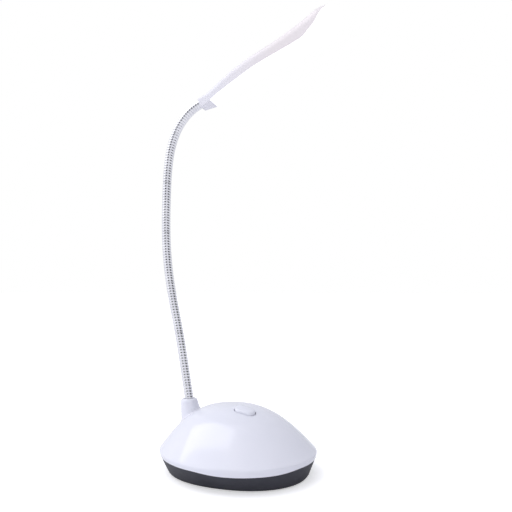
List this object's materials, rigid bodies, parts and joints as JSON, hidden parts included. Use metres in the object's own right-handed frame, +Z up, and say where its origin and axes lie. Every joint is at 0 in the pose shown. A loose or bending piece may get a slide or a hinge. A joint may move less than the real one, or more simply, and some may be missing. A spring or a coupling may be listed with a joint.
{
  "type": "desk lamp",
  "caption": "Battery desk lamp: oval domed base over a dark pan, push button, ribbed chrome gooseneck and a slim paddle head with a full-length diffuser.",
  "frame": {"origin": "middle of the whole lamp's outline box, on the desk plane under the rubber feet", "axes": "+Z up; +X forwards, the way the head reaches over the base; +Y across, to the left when looking along +X"},
  "size_m": [0.1204, 0.0854, 0.2807],
  "materials": {
    "white_gloss": "glossy white",
    "charcoal": "satin charcoal",
    "rubber_black": "matte",
    "steel": "zinc plated",
    "chrome": "bright chrome",
    "nickel": "nickel plated spring strip",
    "cell_jacket": "plain printed jacket",
    "circuit_board": "green solder mask",
    "switch_black": "moulded",
    "wire_sheath": "flexible sheath",
    "diffuser": "milky, lit from behind",
    "led_yellow": "phosphor face"
  },
  "bodies": {
    "base": {"upper_housing": "white_gloss", "base_tray": "charcoal", "rubber_feet": "rubber_black", "housing_screws": "steel", "battery_left": "cell_jacket", "battery_middle": "cell_jacket", "battery_right": "cell_jacket", "contacts_front": "nickel", "contacts_rear": "nickel", "switch_board": "circuit_board", "switch_body": "switch_black", "neck_nut": "steel", "hose_00": "chrome", "neck_wire": "wire_sheath"},
    "battery_door": {"battery_door": "charcoal"},
    "button": {"switch_button": "white_gloss", "switch_stem": "switch_black"},
    "neck_link_01": {"hose_01": "chrome"},
    "neck_link_02": {"hose_02": "chrome"},
    "neck_link_03": {"hose_03": "chrome"},
    "neck_link_04": {"hose_04": "chrome"},
    "neck_link_05": {"hose_05": "chrome"},
    "neck_link_06": {"hose_06": "chrome"},
    "neck_link_07": {"hose_07": "chrome"},
    "neck_link_08": {"hose_08": "chrome"},
    "neck_link_09": {"hose_09": "chrome"},
    "neck_link_10": {"hose_10": "chrome"},
    "neck_link_11": {"hose_11": "chrome"},
    "head": {"hose_12": "chrome", "head_shell": "white_gloss", "head_diffuser": "diffuser", "led_board": "circuit_board", "leds": "led_yellow", "led_resistor": "switch_black"}
  },
  "joints": [
    {"name": "door_slide", "type": "slide", "parent": "base", "child": "battery_door", "axis": [-1, 0, 0], "range_m": [0, 0.045]},
    {"name": "button_press", "type": "slide", "parent": "base", "child": "button", "axis": [0, 0, -1], "range_m": [0, 0.0015], "stiffness_N_per_m": 500, "springref_m": -0.0006},
    {"name": "neck_bend_01", "type": "hinge", "parent": "base", "child": "neck_link_01", "pos_m": [-0.04069, 0, 0.04896], "axis": [0, 1, 0], "range_deg": [-7, 7], "deforming": ["neck_wire"]},
    {"name": "neck_sway_02", "type": "hinge", "parent": "neck_link_01", "child": "neck_link_02", "pos_m": [-0.04364, 0, 0.0653], "axis": [-0.9845, 0, -0.1754], "range_deg": [-7, 7], "deforming": ["neck_wire"]},
    {"name": "neck_bend_03", "type": "hinge", "parent": "neck_link_02", "child": "neck_link_03", "pos_m": [-0.04684, 0, 0.08159], "axis": [0, 1, 0], "range_deg": [-7, 7], "deforming": ["neck_wire"]},
    {"name": "neck_sway_04", "type": "hinge", "parent": "neck_link_03", "child": "neck_link_04", "pos_m": [-0.05046, 0, 0.09779], "axis": [-0.974, 0, -0.2267], "range_deg": [-7, 7], "deforming": ["neck_wire"]},
    {"name": "neck_bend_05", "type": "hinge", "parent": "neck_link_04", "child": "neck_link_05", "pos_m": [-0.05381, 0, 0.11404], "axis": [0, 1, 0], "range_deg": [-7, 7], "deforming": ["neck_wire"]},
    {"name": "neck_sway_06", "type": "hinge", "parent": "neck_link_05", "child": "neck_link_06", "pos_m": [-0.05612, 0, 0.13048], "axis": [-0.9949, 0, -0.1011], "range_deg": [-7, 7], "deforming": ["neck_wire"]},
    {"name": "neck_bend_07", "type": "hinge", "parent": "neck_link_06", "child": "neck_link_07", "pos_m": [-0.05724, 0, 0.14704], "axis": [0, 1, 0], "range_deg": [-7, 7], "deforming": ["neck_wire"]},
    {"name": "neck_sway_08", "type": "hinge", "parent": "neck_link_07", "child": "neck_link_08", "pos_m": [-0.05739, 0, 0.16364], "axis": [-0.9999, 0, 0.014], "range_deg": [-7, 7], "deforming": ["neck_wire"]},
    {"name": "neck_bend_09", "type": "hinge", "parent": "neck_link_08", "child": "neck_link_09", "pos_m": [-0.05702, 0, 0.18023], "axis": [0, 1, 0], "range_deg": [-7, 7], "deforming": ["neck_wire"]},
    {"name": "neck_sway_10", "type": "hinge", "parent": "neck_link_09", "child": "neck_link_10", "pos_m": [-0.05563, 0, 0.19676], "axis": [-0.9907, 0, 0.1357], "range_deg": [-7, 7], "deforming": ["neck_wire"]},
    {"name": "neck_bend_11", "type": "hinge", "parent": "neck_link_10", "child": "neck_link_11", "pos_m": [-0.05119, 0, 0.21271], "axis": [0, 1, 0], "range_deg": [-7, 7], "deforming": ["neck_wire"]},
    {"name": "neck_sway_12", "type": "hinge", "parent": "neck_link_11", "child": "head", "pos_m": [-0.04155, 0, 0.22606], "axis": [-0.6639, 0, 0.7478], "range_deg": [-7, 7], "deforming": ["neck_wire"]}
  ],
  "couplings": [
    {"joint": "neck_bend_03", "follows": "neck_bend_01", "ratio": 1},
    {"joint": "neck_bend_05", "follows": "neck_bend_01", "ratio": 1},
    {"joint": "neck_sway_04", "follows": "neck_sway_02", "ratio": 1},
    {"joint": "neck_sway_06", "follows": "neck_sway_02", "ratio": 1},
    {"joint": "neck_bend_09", "follows": "neck_bend_07", "ratio": 1},
    {"joint": "neck_bend_11", "follows": "neck_bend_07", "ratio": 1},
    {"joint": "neck_sway_08", "follows": "neck_sway_12", "ratio": 1},
    {"joint": "neck_sway_10", "follows": "neck_sway_12", "ratio": 1}
  ]
}
